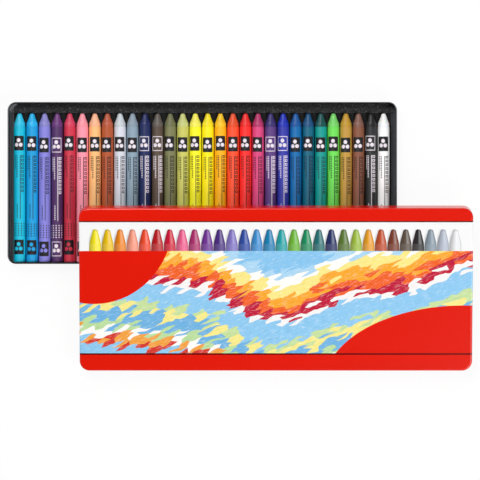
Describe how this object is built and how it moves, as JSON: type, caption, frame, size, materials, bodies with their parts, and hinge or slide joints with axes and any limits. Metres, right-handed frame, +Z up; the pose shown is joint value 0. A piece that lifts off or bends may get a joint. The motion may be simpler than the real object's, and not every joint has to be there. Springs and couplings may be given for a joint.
{
  "type": "wax pastel tin",
  "caption": "Flat black tin tray of paper-sleeved wax pastels in a grooved insert, with its printed red slip-on lid taken off and leaning on the tray's front rim.",
  "frame": {"origin": "centre of the tray's flat underside", "axes": "+X along the row of pastels to the right, +Y the way the pastels' points lie, +Z up"},
  "size_m": [0.3168, 0.1832, 0.0303],
  "materials": {
    "black_lacquer": "satin black lacquer",
    "red_lacquer": "printed and varnished",
    "insert_plastic": "crackle grained",
    "foam": "fine closed cells",
    "wax_turquoise": "moulded wax",
    "wax_sky_blue": "moulded wax",
    "wax_lilac": "moulded wax",
    "wax_aubergine": "moulded wax",
    "wax_crimson": "moulded wax",
    "wax_pink": "moulded wax",
    "wax_apricot": "moulded wax",
    "wax_russet": "moulded wax",
    "wax_light_grey": "moulded wax",
    "wax_blue_grey": "moulded wax",
    "wax_navy": "moulded wax",
    "wax_dark_brown": "moulded wax",
    "wax_olive": "moulded wax",
    "wax_light_olive": "moulded wax",
    "wax_lemon": "moulded wax",
    "wax_yellow": "moulded wax",
    "wax_golden_orange": "moulded wax",
    "wax_vermilion": "moulded wax",
    "wax_scarlet": "moulded wax",
    "wax_magenta": "moulded wax",
    "wax_violet": "moulded wax",
    "wax_ultramarine": "moulded wax",
    "wax_blue": "moulded wax",
    "wax_petrol": "moulded wax",
    "wax_emerald": "moulded wax",
    "wax_light_green": "moulded wax",
    "wax_ochre": "moulded wax",
    "wax_brown": "moulded wax",
    "wax_black": "moulded wax",
    "wax_white": "moulded wax",
    "paper_turquoise": "printed satin paper",
    "paper_sky_blue": "printed satin paper",
    "paper_lilac": "printed satin paper",
    "paper_aubergine": "printed satin paper",
    "paper_crimson": "printed satin paper",
    "paper_pink": "printed satin paper",
    "paper_apricot": "printed satin paper",
    "paper_russet": "printed satin paper",
    "paper_light_grey": "printed satin paper",
    "paper_blue_grey": "printed satin paper",
    "paper_navy": "printed satin paper",
    "paper_dark_brown": "printed satin paper",
    "paper_olive": "printed satin paper",
    "paper_light_olive": "printed satin paper",
    "paper_lemon": "printed satin paper",
    "paper_yellow": "printed satin paper",
    "paper_golden_orange": "printed satin paper",
    "paper_vermilion": "printed satin paper",
    "paper_scarlet": "printed satin paper",
    "paper_magenta": "printed satin paper",
    "paper_violet": "printed satin paper",
    "paper_ultramarine": "printed satin paper",
    "paper_blue": "printed satin paper",
    "paper_petrol": "printed satin paper",
    "paper_emerald": "printed satin paper",
    "paper_light_green": "printed satin paper",
    "paper_ochre": "printed satin paper",
    "paper_brown": "printed satin paper",
    "paper_black": "printed satin paper",
    "paper_white": "printed satin paper"
  },
  "bodies": {
    "tray": {"base_tin": "black_lacquer", "pastel_insert": "insert_plastic"},
    "lid": {"lid_shell": "red_lacquer", "lid_liner": "foam"},
    "pastel_01_turquoise": {"pastel_01_turquoise": "wax_turquoise"},
    "pastel_02_sky_blue": {"pastel_02_sky_blue": "wax_sky_blue"},
    "pastel_03_lilac": {"pastel_03_lilac": "wax_lilac"},
    "pastel_04_aubergine": {"pastel_04_aubergine": "wax_aubergine"},
    "pastel_05_crimson": {"pastel_05_crimson": "wax_crimson"},
    "pastel_06_pink": {"pastel_06_pink": "wax_pink"},
    "pastel_07_apricot": {"pastel_07_apricot": "wax_apricot"},
    "pastel_08_russet": {"pastel_08_russet": "wax_russet"},
    "pastel_09_light_grey": {"pastel_09_light_grey": "wax_light_grey"},
    "pastel_10_blue_grey": {"pastel_10_blue_grey": "wax_blue_grey"},
    "pastel_11_navy": {"pastel_11_navy": "wax_navy"},
    "pastel_12_dark_brown": {"pastel_12_dark_brown": "wax_dark_brown"},
    "pastel_13_olive": {"pastel_13_olive": "wax_olive"},
    "pastel_14_light_olive": {"pastel_14_light_olive": "wax_light_olive"},
    "pastel_15_lemon": {"pastel_15_lemon": "wax_lemon"},
    "pastel_16_yellow": {"pastel_16_yellow": "wax_yellow"},
    "pastel_17_golden_orange": {"pastel_17_golden_orange": "wax_golden_orange"},
    "pastel_18_vermilion": {"pastel_18_vermilion": "wax_vermilion"},
    "pastel_19_scarlet": {"pastel_19_scarlet": "wax_scarlet"},
    "pastel_20_magenta": {"pastel_20_magenta": "wax_magenta"},
    "pastel_21_violet": {"pastel_21_violet": "wax_violet"},
    "pastel_22_ultramarine": {"pastel_22_ultramarine": "wax_ultramarine"},
    "pastel_23_blue": {"pastel_23_blue": "wax_blue"},
    "pastel_24_petrol": {"pastel_24_petrol": "wax_petrol"},
    "pastel_25_emerald": {"pastel_25_emerald": "wax_emerald"},
    "pastel_26_light_green": {"pastel_26_light_green": "wax_light_green"},
    "pastel_27_ochre": {"pastel_27_ochre": "wax_ochre"},
    "pastel_28_brown": {"pastel_28_brown": "wax_brown"},
    "pastel_29_black": {"pastel_29_black": "wax_black"},
    "pastel_30_white": {"pastel_30_white": "wax_white"}
  },
  "joints": [
    {"name": "lid_lift", "type": "slide", "parent": "tray", "child": "lid", "axis": [0, 0, 1], "range_m": [0, 0.06]},
    {"name": "pastel_01_turquoise_draw", "type": "hinge", "parent": "tray", "child": "pastel_01_turquoise", "pos_m": [0, -0.048, 0.07569], "axis": [1, 0, 0], "range_deg": [0, 45]},
    {"name": "pastel_02_sky_blue_draw", "type": "hinge", "parent": "tray", "child": "pastel_02_sky_blue", "pos_m": [0, -0.048, 0.07569], "axis": [1, 0, 0], "range_deg": [0, 45]},
    {"name": "pastel_03_lilac_draw", "type": "hinge", "parent": "tray", "child": "pastel_03_lilac", "pos_m": [0, -0.048, 0.07569], "axis": [1, 0, 0], "range_deg": [0, 45]},
    {"name": "pastel_04_aubergine_draw", "type": "hinge", "parent": "tray", "child": "pastel_04_aubergine", "pos_m": [0, -0.048, 0.07569], "axis": [1, 0, 0], "range_deg": [0, 45]},
    {"name": "pastel_05_crimson_draw", "type": "hinge", "parent": "tray", "child": "pastel_05_crimson", "pos_m": [0, -0.048, 0.07569], "axis": [1, 0, 0], "range_deg": [0, 45]},
    {"name": "pastel_06_pink_draw", "type": "hinge", "parent": "tray", "child": "pastel_06_pink", "pos_m": [0, -0.048, 0.07569], "axis": [1, 0, 0], "range_deg": [0, 45]},
    {"name": "pastel_07_apricot_draw", "type": "hinge", "parent": "tray", "child": "pastel_07_apricot", "pos_m": [0, -0.048, 0.07569], "axis": [1, 0, 0], "range_deg": [0, 45]},
    {"name": "pastel_08_russet_draw", "type": "hinge", "parent": "tray", "child": "pastel_08_russet", "pos_m": [0, -0.048, 0.07569], "axis": [1, 0, 0], "range_deg": [0, 45]},
    {"name": "pastel_09_light_grey_draw", "type": "hinge", "parent": "tray", "child": "pastel_09_light_grey", "pos_m": [0, -0.048, 0.07569], "axis": [1, 0, 0], "range_deg": [0, 45]},
    {"name": "pastel_10_blue_grey_draw", "type": "hinge", "parent": "tray", "child": "pastel_10_blue_grey", "pos_m": [0, -0.048, 0.07569], "axis": [1, 0, 0], "range_deg": [0, 45]},
    {"name": "pastel_11_navy_draw", "type": "hinge", "parent": "tray", "child": "pastel_11_navy", "pos_m": [0, -0.048, 0.07569], "axis": [1, 0, 0], "range_deg": [0, 45]},
    {"name": "pastel_12_dark_brown_draw", "type": "hinge", "parent": "tray", "child": "pastel_12_dark_brown", "pos_m": [0, -0.048, 0.07569], "axis": [1, 0, 0], "range_deg": [0, 45]},
    {"name": "pastel_13_olive_draw", "type": "hinge", "parent": "tray", "child": "pastel_13_olive", "pos_m": [0, -0.048, 0.07569], "axis": [1, 0, 0], "range_deg": [0, 45]},
    {"name": "pastel_14_light_olive_draw", "type": "hinge", "parent": "tray", "child": "pastel_14_light_olive", "pos_m": [0, -0.048, 0.07569], "axis": [1, 0, 0], "range_deg": [0, 45]},
    {"name": "pastel_15_lemon_draw", "type": "hinge", "parent": "tray", "child": "pastel_15_lemon", "pos_m": [0, -0.048, 0.07569], "axis": [1, 0, 0], "range_deg": [0, 45]},
    {"name": "pastel_16_yellow_draw", "type": "hinge", "parent": "tray", "child": "pastel_16_yellow", "pos_m": [0, -0.048, 0.07569], "axis": [1, 0, 0], "range_deg": [0, 45]},
    {"name": "pastel_17_golden_orange_draw", "type": "hinge", "parent": "tray", "child": "pastel_17_golden_orange", "pos_m": [0, -0.048, 0.07569], "axis": [1, 0, 0], "range_deg": [0, 45]},
    {"name": "pastel_18_vermilion_draw", "type": "hinge", "parent": "tray", "child": "pastel_18_vermilion", "pos_m": [0, -0.048, 0.07569], "axis": [1, 0, 0], "range_deg": [0, 45]},
    {"name": "pastel_19_scarlet_draw", "type": "hinge", "parent": "tray", "child": "pastel_19_scarlet", "pos_m": [0, -0.048, 0.07569], "axis": [1, 0, 0], "range_deg": [0, 45]},
    {"name": "pastel_20_magenta_draw", "type": "hinge", "parent": "tray", "child": "pastel_20_magenta", "pos_m": [0, -0.048, 0.07569], "axis": [1, 0, 0], "range_deg": [0, 45]},
    {"name": "pastel_21_violet_draw", "type": "hinge", "parent": "tray", "child": "pastel_21_violet", "pos_m": [0, -0.048, 0.07569], "axis": [1, 0, 0], "range_deg": [0, 45]},
    {"name": "pastel_22_ultramarine_draw", "type": "hinge", "parent": "tray", "child": "pastel_22_ultramarine", "pos_m": [0, -0.048, 0.07569], "axis": [1, 0, 0], "range_deg": [0, 45]},
    {"name": "pastel_23_blue_draw", "type": "hinge", "parent": "tray", "child": "pastel_23_blue", "pos_m": [0, -0.048, 0.07569], "axis": [1, 0, 0], "range_deg": [0, 45]},
    {"name": "pastel_24_petrol_draw", "type": "hinge", "parent": "tray", "child": "pastel_24_petrol", "pos_m": [0, -0.048, 0.07569], "axis": [1, 0, 0], "range_deg": [0, 45]},
    {"name": "pastel_25_emerald_draw", "type": "hinge", "parent": "tray", "child": "pastel_25_emerald", "pos_m": [0, -0.048, 0.07569], "axis": [1, 0, 0], "range_deg": [0, 45]},
    {"name": "pastel_26_light_green_draw", "type": "hinge", "parent": "tray", "child": "pastel_26_light_green", "pos_m": [0, -0.048, 0.07569], "axis": [1, 0, 0], "range_deg": [0, 45]},
    {"name": "pastel_27_ochre_draw", "type": "hinge", "parent": "tray", "child": "pastel_27_ochre", "pos_m": [0, -0.048, 0.07569], "axis": [1, 0, 0], "range_deg": [0, 45]},
    {"name": "pastel_28_brown_draw", "type": "hinge", "parent": "tray", "child": "pastel_28_brown", "pos_m": [0, -0.048, 0.07569], "axis": [1, 0, 0], "range_deg": [0, 45]},
    {"name": "pastel_29_black_draw", "type": "hinge", "parent": "tray", "child": "pastel_29_black", "pos_m": [0, -0.048, 0.07569], "axis": [1, 0, 0], "range_deg": [0, 45]},
    {"name": "pastel_30_white_draw", "type": "hinge", "parent": "tray", "child": "pastel_30_white", "pos_m": [0, -0.048, 0.07569], "axis": [1, 0, 0], "range_deg": [0, 45]}
  ]
}
